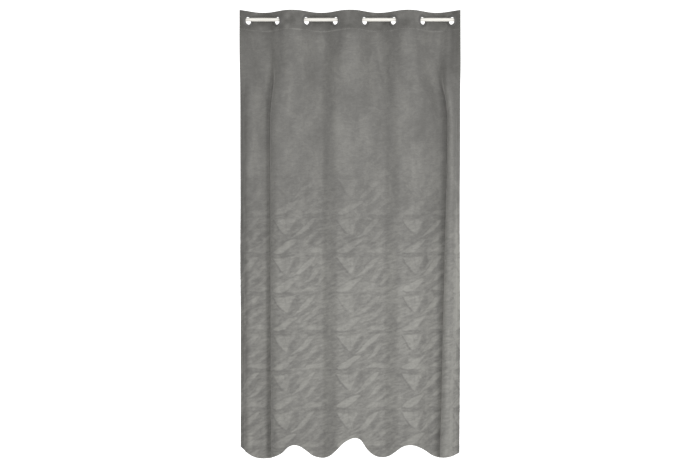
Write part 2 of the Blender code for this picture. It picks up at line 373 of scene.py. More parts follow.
def planCurves(depths):
    # for each depth below the top: X, Y and slope of the cloth's middle, at every sample of the cut
    top, low = headerSlope(), np.array([lowerSlope(depth) for depth in depths])
    hungWidth = along(np.cos(top))[-1]
    share = smooth(hang["easeFrom"], hang["easeTo"], depths)[:, None]
    slope = (1 - share) * top + share * low
    gain = np.ones((len(depths), 1))
    for _ in range(5):  # the hung width stays the same all the way down
        width = along(np.cos(gain * slope))[:, -1:]
        change = -along(slope * np.sin(gain * slope))[:, -1:]
        gain = gain - (width - hungWidth) / change
    slope = gain * slope
    x = along(np.cos(slope)) - hungWidth / 2
    y = along(np.sin(slope))
    firstEyelet = y[:, [int(round(panel["edgeMargin"] / fineStep))]]
    middle = (y.max(axis=1, keepdims=True) + y.min(axis=1, keepdims=True)) / 2
    y = y - (1 - share) * firstEyelet - share * middle
    return x, y, slope


# the plan curve changes slowly with depth, so it is worked out at these levels and blended
planLevels = np.linspace(0, panel["drop"] + 0.01, 121)
plans = planCurves(planLevels)


# the hem's line: places along the rod, and heights above its lowest point

hemLine = (
    (-0.602, 0.065), (-0.588, 0.061), (-0.556, 0.033), (-0.524, 0.012), (-0.491, 0.002),
    (-0.459, 0.000), (-0.427, 0.003), (-0.395, 0.012), (-0.363, 0.028), (-0.330, 0.060),
    (-0.298, 0.071), (-0.266, 0.063), (-0.234, 0.042), (-0.202, 0.017), (-0.169, 0.006),
    (-0.137, 0.004), (-0.105, 0.016), (-0.073, 0.043), (-0.041, 0.077), (-0.008, 0.099),
    (0.024, 0.109), (0.056, 0.099), (0.088, 0.054), (0.120, 0.023), (0.153, 0.009),
    (0.185, 0.007), (0.217, 0.017), (0.249, 0.039), (0.281, 0.062), (0.314, 0.070),
    (0.346, 0.068), (0.378, 0.057), (0.410, 0.040), (0.443, 0.018), (0.475, 0.007),
    (0.507, 0.004), (0.539, 0.010), (0.571, 0.022), (0.593, 0.033), (0.602, 0.039),
)


def hemHeight(x):
    # a cubic through the places above, with the slope at each taken from its neighbours
    xs, heights = np.array(hemLine).T
    slopes = np.gradient(heights, xs)
    x = np.clip(x, xs[0], xs[-1])
    k = np.clip(np.searchsorted(xs, x) - 1, 0, len(xs) - 2)
    step = xs[k + 1] - xs[k]
    t = (x - xs[k]) / step
    rising = t * t * (3 - 2 * t)
    return (
        heights[k] * (1 - rising) + heights[k + 1] * rising
        + step * (slopes[k] * t * (1 - t) ** 2 - slopes[k + 1] * t * t * (1 - t))
    )


# the pressed pattern: in each cell a three-cornered petal hanging tip down, feather strokes rising from
# its tip to the upper right, and a pointed leaf below it

emboss = {
    "cell": (0.360, 0.2075),  # repeat across and down
    "firstTip": (0.334, -0.165),  # one petal's tip on the cut, across and up from the upper left corner
    "height": 0.0010,  # pile left standing around the pressed shapes
    "upperShare": 0.16,  # how much of the relief shows just under the header
    "growsFrom": 0.70,  # depths between which it gets its full strength
    "fullFrom": 1.45,
    "ground": 0.42,  # tone of plain pile
    # the petal's corners, from its tip, across and up, and how far the side after each one bows out
    "petal": ((-0.003, 0.000), (0.042, 0.096), (-0.074, 0.086)),
    "petalBows": (-0.002, -0.006, 0.007),
    # strokes: start across and up, end across and up, half width, bend, place of the widest part,
    # tone from 0 standing pile to 1 pressed flat
    "strokes": (
        (-0.084, 0.083, -0.019, 0.003, 0.0075, -0.0128, 0.45, 0.05),
        (0.059, 0.091, 0.014, 0.000, 0.0133, -0.0058, 0.35, 0.10),
        (-0.081, 0.111, 0.031, 0.108, 0.0064, 0.0046, 0.40, 0.08),
        (-0.046, 0.095, 0.022, 0.098, 0.0058, 0.0070, 0.50, 0.15),
        (0.056, -0.019, 0.167, 0.058, 0.0099, 0.0110, 0.45, 0.10),
        (0.105, -0.048, 0.205, 0.017, 0.0075, 0.0110, 0.45, 0.14),
        (-0.043, -0.016, 0.031, -0.024, 0.0104, 0.0035, 0.50, 0.22),
        (0.136, -0.064, 0.236, -0.021, 0.0064, 0.0093, 0.45, 0.18),
        (0.087, 0.099, 0.223, 0.102, 0.0064, 0.0058, 0.50, 0.14),
        (-0.077, -0.091, 0.056, -0.025, 0.0180, 0.0093, 0.42, 0.86),
        (0.022, -0.016, 0.155, 0.091, 0.0133, 0.0087, 0.62, 0.88),
        (0.081, -0.046, 0.186, 0.038, 0.0099, 0.0104, 0.60, 0.74),
        (0.124, -0.067, 0.229, 0.003, 0.0075, 0.0104, 0.55, 0.62),
        (0.161, -0.081, 0.260, -0.027, 0.0070, 0.0093, 0.50, 0.55),
        (0.081, 0.118, 0.217, 0.132, 0.0128, -0.0087, 0.50, 0.80),
        (0.149, 0.032, 0.254, 0.054, 0.0070, 0.0070, 0.50, 0.60),
        (0.161, 0.062, 0.260, 0.072, 0.0064, 0.0070, 0.50, 0.55),
        (-0.056, 0.121, 0.043, 0.161, 0.0052, -0.0093, 0.50, 0.20),
    ),
}


def stroke(a, b, shape):
    startA, startB, endA, endB, half, bend, widest, _ = shape
    length = math.hypot(endA - startA, endB - startB)
    wayA, wayB = (endA - startA) / length, (endB - startB) / length
    run = ((a - startA) * wayA + (b - startB) * wayB) / length
    t = np.clip(run, 0, 1)
    # an S: the first half bows one way, the second half the other way, less
    bow = bend * np.sin(math.pi * t) * np.cos(math.pi * t * 0.8)
    off = (b - startB) * wayA - (a - startA) * wayB + bow
    outline = half * np.sin(math.pi * t ** (math.log(0.5) / math.log(widest))) ** 0.8 + 0.0008
    ends = smooth(-0.02, 0.04, run) * smooth(1.02, 0.96, run)
    pinch = np.exp(-((np.abs(off) - outline - 0.0045) / 0.0028) ** 2) * ends
    return smooth(1.25, 0.70, np.abs(off) / outline) * ends, pinch


def petalShape(a, b):
    # inside of the three corners with bowed sides, the two veins that part it into lobes, and the dark
    # line where the pile stands along its sides
    inside, edge = 1.0, 0.0
    corners = emboss["petal"]
    for (fromA, fromB), (toA, toB), bow in zip(corners, corners[1:] + corners[:1], emboss["petalBows"]):
        length = math.hypot(toA - fromA, toB - fromB)
        run = ((a - fromA) * (toA - fromA) + (b - fromB) * (toB - fromB)) / length ** 2
        off = ((b - fromB) * (toA - fromA) - (a - fromA) * (toB - fromB)) / length
        off = off + 4 * bow * run * (1 - run)
        inside = inside * smooth(-0.004, 0.004, off)
        ends = smooth(-0.05, 0.05, run) * smooth(1.05, 0.95, run)
        edge = edge + np.exp(-((off + 0.0055) / 0.0030) ** 2) * ends
    vein = np.exp(-((a + 0.003 + 0.10 * b) / 0.0035) ** 2) * smooth(0.02, 0.06, b)
    vein += 0.8 * np.exp(-((a + 0.003 - 0.22 * b) / 0.003) ** 2) * smooth(0.03, 0.07, b)
    return inside, vein, np.clip(edge, 0, 1)


def pressedPattern(s, v):
    cellA, cellB = emboss["cell"]
    across = s - emboss["firstTip"][0] + 0.006 * softNoise(s / 0.06, v / 0.06, 31)
    across += 0.0022 * softNoise(s / 0.018, v / 0.018, 33)
    up = -v - emboss["firstTip"][1] + 0.006 * softNoise(s / 0.07, v / 0.06, 37)
    up += 0.0022 * softNoise(s / 0.020, v / 0.018, 39)
    # fine ripples of standing and leaning pile fill the ground
    tilt = up - 0.30 * across
    ripple = softNoise(across / 0.030, tilt / 0.0085, 41)
    ripple += 0.8 * softNoise(across / 0.016, tilt / 0.0075 + 0.4, 43)
    tone = np.clip(emboss["ground"] + 0.26 * ripple + 0.14 * softNoise(s / 0.09, v / 0.06, 47), 0, 1)
    column = np.round((across - 0.09) / cellA)
    row = np.round(up / cellB)
    for di in (-1, 0, 1):
        a = across - (column + di) * cellA
        for dj in (-1, 0, 1):
            b = up - (row + dj) * cellB
            # no two cells are pressed quite alike
            firm = 0.85 + 0.25 * softNoise((column + di) * 1.37 + 0.5, (row + dj) * 1.91 + 0.5, 51)
            for shape in emboss["strokes"]:
                inside, pinch = stroke(a, b, shape)
                tone = tone * (1 - 0.65 * pinch * firm * shape[-1])
                tone = tone * (1 - inside * firm) + (shape[-1] + 0.22 * ripple) * inside * firm
            inside, vein, edge = petalShape(a, b)
            tone = tone * (1 - 0.4 * edge * firm)
            leaf = 0.76 + 0.24 * ripple - 0.30 * vein
            tone = tone * (1 - inside * firm) + leaf * inside * firm
    return np.clip(tone, 0, 1)


# the cloth's mesh, and the wrinkles and worn places on it

clothMesh = {
    "columnStep": 0.0038,
    "facingRows": 21,
    "headerRows": 20,
    "frontRows": 560,
    "hemRows": 8,
    "firstRow": 0.004,  # depth of the first row under the rounded top
    "foldGap": 0.0003,  # air inside the turned-up hem
    "hole": 0.0265,  # the cloth is left out this near an eyelet's middle
    "liftFrom": 1.75,  # below here the rows draw together to meet the hem's line
}

wrinkles = {
    # height, size across and down, seed, and where in the noise it starts
    "slowSwell": (0.0024, 0.13, 0.60, 5, 3),
    "swell": (0.0011, 0.048, 0.34, 9, 7, 2),
    "pucker": (0.0013, 0.017, 0.16, 13, 2),
    "headerWave": (0.0004, 0.035, 0.05, 17),
    "edgeStreaks": (0.0020, 0.0085, 0.7, 21),
    "pinchHeight": 0.0022,  # along the side hems' inner edges
    "pinchFromEdge": 0.030,
    "pinchWidth": 0.006,
    "seamSink": 0.0005,
}

# what is added to the pile's tone, above 0 paler: random blotches and crumples, painted shade and painted
# light; blotches have a size across and down and a seed too
blotchesAndPaintedLight = {
    # painted shade over the header band
    "header": -0.50,
    "headerBlotches": (0.45, 0.034, 0.030, 43),
    "upperBlotches": (0.22, 0.055, 0.16, 39),
    # painted light over the lower half
    "lowerHalf": 0.22,
    "nearHem": -0.10,
    # painted highlight under the header's seam
    "seam": 0.75,
    # painted shade along both edges (the crumples are random tone), and a painted highlight down the right
    # fold
    "leftEdgeShade": -0.44,
    "leftCrumples": (0.30, 0.020, 0.045, 35),
    "rightEdgeShadeHigh": -0.50,
    "rightEdgeShadeLow": -0.55,
    "rightFoldHighlight": (0.75, 0.40),  # at half height and near the hem
    # painted light in the two deepest creases
    "paintedCreaseLight": 0.55,
    "creasePlaces": ((0.204, 0.212), (1.250, 1.228)),  # on the cut, at half height and at the hem
}


def clothRows():
    # each row is its kind, depth below the top, offset to the back, and way the pile faces: back, down
    thick, shift, start = panel["thick"], panel["outer"], clothMesh["firstRow"]
    rows = []
    for depth in np.linspace(panel["header"], start, clothMesh["facingRows"]):
        rows.append(("facing", depth, shift, 1, 0))
    for turn in np.radians((30, 60, 90, 120, 150)):
        back, up = math.cos(turn), math.sin(turn)
        rows.append(("top", thick / 2 + shift * (1 - up), shift * back, back, -up))
    headerRows = np.linspace(start, panel["header"] - 0.0025, clothMesh["headerRows"])
    lowerRows = np.linspace(panel["header"], panel["drop"], clothMesh["frontRows"])
    for depth in np.concatenate([headerRows, lowerRows]):
        rows.append(("front", depth, -shift, -1, 0))
    bend = (thick + clothMesh["foldGap"]) / 2
    for turn in np.radians((150, 120, 90, 60, 30)):
        back, down = math.cos(turn), math.sin(turn)
        rows.append(("round", bend * down, -shift + bend + bend * back, back, down))
    for rise in np.linspace(0.0, panel["hem"], clothMesh["hemRows"]):
        rows.append(("hem", -rise, -shift + 2 * bend, 1, 0))
    return rows


def columnPlaces():
    # columns of the grid, and the stretch of them for each piece
    places, parts = [0.0], []
    for left, right in zip(pieceEnds, pieceEnds[1:]):
        count = max(12, int(round((right - left) / clothMesh["columnStep"])))
        parts.append(slice(len(places) - 1, len(places) + count))
        places += list(np.linspace(left, right, count + 1)[1:])
    return np.array(places), parts


def hemDepths(columns):
    # where each column meets the hem; the line holds as seen from the camera's place, so cloth that is
    # nearer to it hangs a little shorter
    x, y, _ = planCurves(np.array([panel["drop"] - 0.05]))
    line = hemZ + hemHeight(np.interp(columns, fineS, x[0]))
    nearer = 1 + np.interp(columns, fineS, y[0]) / room["cameraBack"]
    return topZ - (room["cameraZ"] + (line - room["cameraZ"]) * nearer)


def planAt(columns, depth):
    # X, Y and slope of the cloth's middle, at each column and depth
    place = np.clip(depth / planLevels[1], 0, len(planLevels) - 1.001)
    low = place.astype(int)
    part = place - low
    index = np.arange(len(columns))
    found = []
    for plan in plans:
        lines = np.array([np.interp(columns, fineS, line) for line in plan])
        found.append((1 - part) * lines[low, index] + part * lines[low + 1, index])
    return found


def fromEyelets(across, depth):
    away = np.full(depth.shape, 9.0)
    for centre in eyeletPlaces:
        away = np.minimum(away, np.hypot(across - centre, depth - panel["eyeletBelowTop"]))
    return away


def uneven(across, depth, amount, wide, long, seed, startA=0, startB=0):
    return amount * softNoise(across / wide + startA, depth / long + startB, seed)


def clothBend(kinds, across, depth, ringFree):
    # slow swells and finer wrinkles of the hanging cloth, along its normal
    header, width = panel["header"], panel["width"]
    below = smooth(header, header + 0.12, depth)
    swell = below * uneven(across, depth, *wrinkles["slowSwell"])
    swell += below * uneven(across, depth, *wrinkles["swell"])
    pucker = uneven(across, depth, *wrinkles["pucker"]) * smooth(header - 0.015, header + 0.004, depth)
    pucker = pucker * np.exp(-np.clip(depth - header, 0, None) / 0.07)
    headerWave = uneven(across, depth, *wrinkles["headerWave"]) * (depth < header + 0.002)
    # the turned side hems stand a little proud and pinch the cloth along their inner edge
    wander = 0.003 * softNoise(depth / 0.21, across * 0, 23)
    fromPinch = np.minimum(across, width - across) - wrinkles["pinchFromEdge"] - wander
    pinch = wrinkles["pinchHeight"] * np.exp(-(fromPinch / wrinkles["pinchWidth"]) ** 2)
    pinch = pinch * smooth(0.09, 0.16, depth) * (0.75 + 0.5 * softNoise(depth / 0.09, across * 0, 27))
    streaks = uneven(across, depth, *wrinkles["edgeStreaks"]) * smooth(1.0, 1.6, depth)
    streaks = streaks * smooth(width - 0.065, width - 0.040, across)
    bend = swell + pinch + pucker + headerWave * ringFree + streaks
    stiff = np.isin(kinds, ("facing", "top"))[:, None]
    return np.where(stiff, 0.0, bend) * ringFree * smooth(0.0, 0.02, depth)


def standingPile(kinds, depth, pattern, strength, ringFree):
    # the pressed pattern stands on the pile side only, and the header's seam is drawn into it
    front = (kinds == "front")[:, None]
    pile = emboss["height"] * (1 - pattern) * strength * (0.25 + 0.75 * ringFree)
    pile = pile * np.where(front, 1.0, 0.35) * ringFree
    seam = np.exp(-((depth - panel["header"]) / 0.0022) ** 2) * front
    return pile - wrinkles["seamSink"] * seam


def pileToneWithPaintedLight(kinds, across, depth, pattern, strength):
    # paler where the pile is pressed flat, darker where it stands or is brushed down, with painted light and
    # painted shade added over it
    header, fromRight = panel["header"], panel["width"] - across
    tone = emboss["ground"] + (pattern - emboss["ground"]) * strength
    # painted shade: the header band and the cloth just under it are made darker
    tone += blotchesAndPaintedLight["header"] * smooth(header + 0.05, header - 0.03, depth)
    tone += uneven(across, depth, *blotchesAndPaintedLight["headerBlotches"]) * smooth(header + 0.02, header - 0.02, depth)
    upper = smooth(header, header + 0.12, depth) * smooth(1.20, 0.80, depth)
    tone += uneven(across, depth, *blotchesAndPaintedLight["upperBlotches"]) * upper
    # painted light: paler over the lower half; a little darker again near the hem
    tone += blotchesAndPaintedLight["lowerHalf"] * smooth(1.10, 1.50, depth) + blotchesAndPaintedLight["nearHem"] * smooth(2.1, 2.35, depth)
    # painted highlight: a pale line in short stretches just under the header's stitches, where the puckered
    # seam would catch the light
    seam = np.exp(-((depth - header - 0.003) / 0.0035) ** 2) * (kinds == "front")[:, None]
    tone += blotchesAndPaintedLight["seam"] * seam * np.clip(softNoise(across / 0.060, depth * 0, 31) + 0.45, 0, 1)
    # painted shade darker along both edges, random crumpled tone at the left, and a long painted highlight
    # down the right fold
    tone += blotchesAndPaintedLight["leftEdgeShade"] * smooth(0.100, 0.040, across) * (1 - 0.35 * smooth(1.3, 2.2, depth))
    crumpled = smooth(0.16, 0.04, across) * smooth(0.5, 0.9, depth)
    tone += uneven(across, depth, *blotchesAndPaintedLight["leftCrumples"]) * crumpled
    tone += blotchesAndPaintedLight["rightEdgeShadeHigh"] * smooth(0.075, 0.045, fromRight) * smooth(1.25, 0.45, depth)
    tone += blotchesAndPaintedLight["rightEdgeShadeLow"] * smooth(0.030, 0.008, fromRight) * smooth(1.55, 1.95, depth)
    # painted highlight down the right fold, further in from the edge near the hem
    glintPlace = 0.030 + 0.050 * smooth(1.40, 2.30, depth)
    glint = np.exp(-((fromRight - glintPlace) / 0.022) ** 2) * smooth(0.95, 1.30, depth)
    high, low = blotchesAndPaintedLight["rightFoldHighlight"]
    tone += (high + (low - high) * smooth(1.55, 1.90, depth)) * glint
    # painted light: the shade in the two deepest creases is made paler
    for high, low in blotchesAndPaintedLight["creasePlaces"]:
        place = high + (low - high) * smooth(hang["leanFrom"], hang["leanTo"], depth)
        creaseLightMask = np.exp(-((across - place) / 0.026) ** 2) * smooth(0.35, 0.70, depth)
        tone += blotchesAndPaintedLight["paintedCreaseLight"] * creaseLightMask
    return tone


def gridNormals(points):
    # the rows run down the front and the columns to the right, so the normals point to the room
    normal = np.cross(np.gradient(points, axis=0), np.gradient(points, axis=1))
    return normal / np.maximum(np.linalg.norm(normal, axis=-1, keepdims=True), 1e-12)


def buildClothGrid():
    rows = clothRows()
    columns, parts = columnPlaces()
    kinds = np.array([row[0] for row in rows])
    depth, offsets, faceBack, faceDown = [
        np.array([row[k] for row in rows], dtype=float)[:, None] for k in (1, 2, 3, 4)
    ]
    depth = depth + np.zeros(len(columns))
    across = columns + np.zeros_like(depth)

    # the front's rows draw together towards the hem, and the turned rows hang from it
    columnHem = hemDepths(columns)
    start = clothMesh["liftFrom"]
    nearHem = np.clip((depth - start) / (panel["drop"] - start), 0, 1)
    lifted = depth - nearHem * (panel["drop"] - columnHem)
    onFront, turned = (kinds == "front")[:, None], np.isin(kinds, ("round", "hem"))[:, None]
    depth = np.where(onFront, lifted, np.where(turned, depth + columnHem, depth))

    x, y, slope = planAt(columns, depth)
    away = fromEyelets(across, depth)
    ringFree = smooth(0.035, 0.046, away)
    bend = clothBend(kinds, across, depth, ringFree)
    onHem = (kinds == "hem")[:, None]
    pattern = pressedPattern(across, np.where(onHem, 2 * columnHem - depth, depth))
    upper = emboss["upperShare"]
    strength = upper + (1 - upper) * smooth(emboss["growsFrom"], emboss["fullFrom"], depth)
    pile = standingPile(kinds, depth, pattern, strength, ringFree)

    def placed(reach):
        shift = offsets + faceBack * reach + bend
        spots = x - np.sin(slope) * shift, y + np.cos(slope) * shift, topZ - depth - faceDown * reach
        return np.stack(spots, axis=-1)

    half = panel["thick"] / 2
    face, back = placed(half + pile), placed(-half)
    return {
        "face": face, "back": back, "faceNormal": gridNormals(face), "backNormal": gridNormals(back),
        "across": across, "depth": depth, "kinds": kinds, "away": away, "columnHem": columnHem,
        "toneAndPaintedLight": pileToneWithPaintedLight(kinds, across, depth, pattern, strength), "parts": parts,
    }


def squares(ids):
    return np.stack([ids[:-1, :-1], ids[1:, :-1], ids[1:, 1:], ids[:-1, 1:]], axis=-1)


def closedSheet(outer, count):
    # the outer faces, the same turned over on the points that come count places later, and a rim that
    # closes every free edge between the two sides
    inner = outer[:, ::-1] + count
    edges = np.concatenate([outer[:, [i, (i + 1) % 4]] for i in range(4)])
    free = edges[~np.isin(edges[:, 0] * count + edges[:, 1], edges[:, 1] * count + edges[:, 0])]
    rim = np.stack([free[:, 1], free[:, 0], free[:, 0] + count, free[:, 1] + count], axis=1)
    side = [0] * len(outer) + [1] * len(inner) + [0] * len(rim)
    return np.concatenate([outer, inner, rim]), side


def storeCut(mesh, toneAndPaintedLight, flat):
    # the pile's tone with any painted light and shade, and each point's place on the cut
    mesh.attributes.new("toneAndPaintedLight", "FLOAT", "POINT").data.foreach_set("value", np.array(toneAndPaintedLight, np.float32))
    loops = np.zeros(len(mesh.loops), dtype=int)
    mesh.loops.foreach_get("vertex_index", loops)
    layer = mesh.uv_layers.new(name="cutCloth")
    layer.data.foreach_set("uv", np.array(flat, np.float32)[loops].reshape(-1))


def clothPiece(name, part):
    face, back = grid["face"][:, part], grid["back"][:, part]
    ids = np.arange(face.size // 3).reshape(face.shape[:2])
    away = grid["away"][:, part]
    keep = (away[1:, 1:] + away[:-1, 1:] + away[1:, :-1] + away[:-1, :-1]) / 4 > clothMesh["hole"]
    faces, side = closedSheet(squares(ids)[keep], ids.size)
    verts = np.concatenate([face, back]).reshape(-1, 3)
    used = np.unique(faces)
    order = np.full(2 * ids.size, -1)
    order[used] = np.arange(len(used))
    piece = meshObject(name, verts[used], order[faces], (velvet, reverse), side)
    flat = np.stack([grid["across"][:, part], grid["depth"][:, part]], axis=-1).reshape(-1, 2)
    tone = grid["toneAndPaintedLight"][:, part].reshape(-1)
    storeCut(piece.data, np.tile(tone, 2)[used], np.tile(flat, (2, 1))[used])
    # one set of normals for the whole cloth, so no line shows between its pieces
    normals = np.concatenate([grid["faceNormal"][:, part], -grid["backNormal"][:, part]]).reshape(-1, 3)
    piece.data.normals_split_custom_set_from_vertices(normals[used].tolist())
    return piece


grid = buildClothGrid()
print("cloth grid:", grid["face"].shape)

folds = range(1, panel["eyelets"])
pieceNames = ["clothEdgeLeft"] + [f"clothFold{n}" for n in folds] + ["clothEdgeRight"]
layers = ("cloth", "header_tape", "header_facing", "hem_facing")  # CAD pieces of one pleat's cloth
clothParts = {}


def follow(piece, index):
    # edge pieces turn with the end pleats, the others keep their place as built
    if index in (0, panel["eyelets"]):
        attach(piece, f"pleat_{max(index, 1)}")
    else:
        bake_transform(piece)


for index, name in enumerate(pieceNames):
    piece = clothPiece(name, grid["parts"][index])
    clothParts[name] = piece
    follow(piece, index)
    if index:
        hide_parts(*[f"{layer}_{index}" for layer in layers])
print("cloth pieces made")


# side hems, turned to the back between the header and the bottom hem

sideHem = {"width": 0.025, "gap": 0.0003, "clear": 0.0006, "rows": 240, "tone": 0.35}
seamLines = {}


def sideHemPiece(name, left):
    thick, shift = panel["thick"], panel["outer"]
    bend = (thick + sideHem["gap"]) / 2
    # outline of the hem's path: distance in from the edge, offset to the back, way the pile faces
    path = [(inward, -shift + 2 * bend, 0.0, 1.0) for inward in np.linspace(sideHem["width"], 0.0, 9)]
    for turn in np.radians((60, 30, 0, -30, -60, -88)):
        out, back = math.cos(turn), math.sin(turn)
        path.append((-bend * out, -shift + bend + bend * back, -out, back))
    hemAtEdge = grid["columnHem"][0 if left else -1]
    top, bottom = panel["header"] + sideHem["clear"], hemAtEdge - panel["hem"] - sideHem["clear"]
    depths = np.linspace(top, bottom, sideHem["rows"])
    way = 1 if left else -1
    verts, flats = [], []
    for layer in (1, -1):
        for depth in depths:
            at = min(depth / planLevels[1], len(planLevels) - 1.001)
            low, part = int(at), at - int(at)
            lines = [(1 - part) * plan[low] + part * plan[low + 1] for plan in plans]
            for inward, offset, outIn, outBack in path:
                s = max(inward, 0) if left else panel["width"] - max(inward, 0)
                x, y, slope = [np.interp(s, fineS, line) for line in lines]
                cos, sin = math.cos(slope), math.sin(slope)
                over = way * (min(inward, 0) + outIn * layer * thick / 2)
                behind = offset + outBack * layer * thick / 2
                verts.append((x + cos * over - sin * behind, y + sin * over + cos * behind, topZ - depth))
                flats.append((s, depth))
    ids = np.arange(len(depths) * len(path)).reshape(len(depths), len(path))
    outer = squares(ids).reshape(-1, 4)
    faces, side = closedSheet(outer if left else outer[:, ::-1], ids.size)
    piece = meshObject(name, verts, faces, (velvet, reverse), side)
    storeCut(piece.data, np.full(len(verts), sideHem["tone"]), flats)
    seamLines[name] = np.array(verts)[ids[:, 1]]  # along the second column of the outer layer
    return piece


sideHems = {0: "sideHemLeft", panel["eyelets"]: "sideHemRight"}  # by the piece of cloth they are on
for index, name in sideHems.items():
    piece = sideHemPiece(name, index == 0)
    follow(piece, index)
    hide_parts("side_hem_left" if index == 0 else "side_hem_right")
    clothParts[name] = piece
print("side hems made")


# stitches: the header's seam on both sides, the bottom hem's and the side hems' at the back

stitch = {"pitch": 0.0046, "length": 0.0036, "radius": 0.00042, "proud": 0.00015}
stitchSizes = {"Pitch": stitch["pitch"], "Length": stitch["length"], "Radius": stitch["radius"]}


def stitchTree():
    tree = bpy.data.node_groups.new("runningStitches", "GeometryNodeTree")
    face = tree.interface
    face.new_socket("Seam", in_out="INPUT", socket_type="NodeSocketGeometry")
    for label, value in stitchSizes.items():
        face.new_socket(label, in_out="INPUT", socket_type="NodeSocketFloat").default_value = value
    face.new_socket("Thread", in_out="INPUT", socket_type="NodeSocketMaterial")
    face.new_socket("Stitches", in_out="OUTPUT", socket_type="NodeSocketGeometry")
    given = addNode(tree, "NodeGroupInput").outputs
    curve = addNode(tree, "GeometryNodeMeshToCurve", links={"Mesh": given["Seam"]})
    spaced = addNode(
        tree, "GeometryNodeResampleCurve", {"mode": "LENGTH"},
        links={"Curve": curve.outputs[0], "Length": given["Pitch"]},
    )
    tangent = addNode(tree, "GeometryNodeInputTangent")
    turn = addNode(
        tree, "FunctionNodeAlignRotationToVector", {"axis": "Z"}, links={"Vector": tangent.outputs[0]},
    )
    ball = addNode(tree, "GeometryNodeMeshUVSphere", values={"Segments": 6, "Rings": 4, "Radius": 1.0})
    half = addNode(tree, "ShaderNodeMath", {"operation": "MULTIPLY"}, {1: 0.5}, {0: given["Length"]})
    shape = addNode(
        tree, "ShaderNodeCombineXYZ",
        links={"X": given["Radius"], "Y": given["Radius"], "Z": half.outputs[0]},
    )
    spread = addNode(
        tree, "GeometryNodeInstanceOnPoints",
        links={
            "Points": spaced.outputs[0], "Instance": ball.outputs[0],
            "Rotation": turn.outputs[0], "Scale": shape.outputs[0],
        },
    )
    real = addNode(tree, "GeometryNodeRealizeInstances", links={0: spread.outputs[0]})
    soft = addNode(tree, "GeometryNodeSetShadeSmooth", links={0: real.outputs[0]})
    finish = addNode(
        tree, "GeometryNodeSetMaterial",
        links={"Geometry": soft.outputs[0], "Material": given["Thread"]},
    )
    addNode(tree, "NodeGroupOutput", links={"Stitches": finish.outputs[0]})
    return tree


stitchNodes = stitchTree()


def stitchPiece(name, lines):
    points = np.concatenate(lines)
    seam = meshObject(name + "Seam", points, [])
    starts = np.cumsum([0] + [len(line) for line in lines])
    pairs = [(k, k + 1) for k in range(len(points) - 1) if k + 1 not in starts]
    seam.data.edges.add(len(pairs))
    seam.data.edges.foreach_set("vertices", np.array(pairs, dtype=np.int32).reshape(-1))
    modifier = seam.modifiers.new("stitches", "NODES")
    modifier.node_group = stitchNodes
    items = stitchNodes.interface.items_tree
    sockets = {item.name: item.identifier for item in items if item.in_out == "INPUT"}
    for label, value in stitchSizes.items():
        modifier[sockets[label]] = value
    modifier[sockets["Thread"]] = thread
    bpy.context.view_layer.update()
    mesh = bpy.data.meshes.new_from_object(seam.evaluated_get(bpy.context.evaluated_depsgraph_get()))
    bpy.data.objects.remove(seam)
    mesh.name = name
    return linked(name, mesh)


def nearestRow(kind, depth):
    return int(np.argmin(np.where(grid["kinds"] == kind, np.abs(grid["depth"][:, 0] - depth), 9)))


hemRow = len(grid["kinds"]) - 2
seamRows = (nearestRow("front", panel["header"]), nearestRow("facing", panel["header"] - 0.004), hemRow)
for index in range(len(pieceNames)):
    part = grid["parts"][index]
    lines = [grid["face"][row, part] + grid["faceNormal"][row, part] * stitch["proud"] for row in seamRows]
    if index in sideHems:
        lines.append(seamLines[sideHems[index]] + np.array((0, stitch["proud"], 0)))
    piece = stitchPiece(f"stitches{index + 1}", lines)
    follow(piece, index)
print("stitches made")


# eyelets

eyelet = {
    "bore": 0.020, "flange": 0.033, "flangeHeight": 0.0024, "lip": 0.0020, "barrelWall": 0.0012,
    "crownIn": 0.0030, "grooveDepth": 0.00035, "clip": 0.031, "clipHeight": 0.0016, "clipRound": 0.0012,
    "clipGroove": 0.0004, "gap": 0.0003, "pastClip": 0.0004, "segments": 96,
}


def turnedRings(name, profiles, placing, material):
    # closed outlines of (radius, place along Y), each turned about Y
    verts, faces, steps = [], [], eyelet["segments"]
    for outline in profiles:
        base, size = len(verts), len(outline)
        for step in range(steps):
            turn = 2 * math.pi * step / steps
            verts += [placing @ Vector((r * math.cos(turn), y, r * math.sin(turn))) for r, y in outline]
            here, after = base + step * size, base + (step + 1) % steps * size
            for k in range(size):
                following = (k + 1) % size
                faces.append((here + k, here + following, after + following, after + k))
    made = meshObject(name, verts, faces, (material,))
    made.data.set_sharp_from_angle(angle=math.radians(38))
    return made


def arc(centre, radius, start, end, steps):
    turns = np.radians(np.linspace(start, end, steps))
    return [(centre[0] + radius * math.cos(t), centre[1] + radius * math.sin(t)) for t in turns]


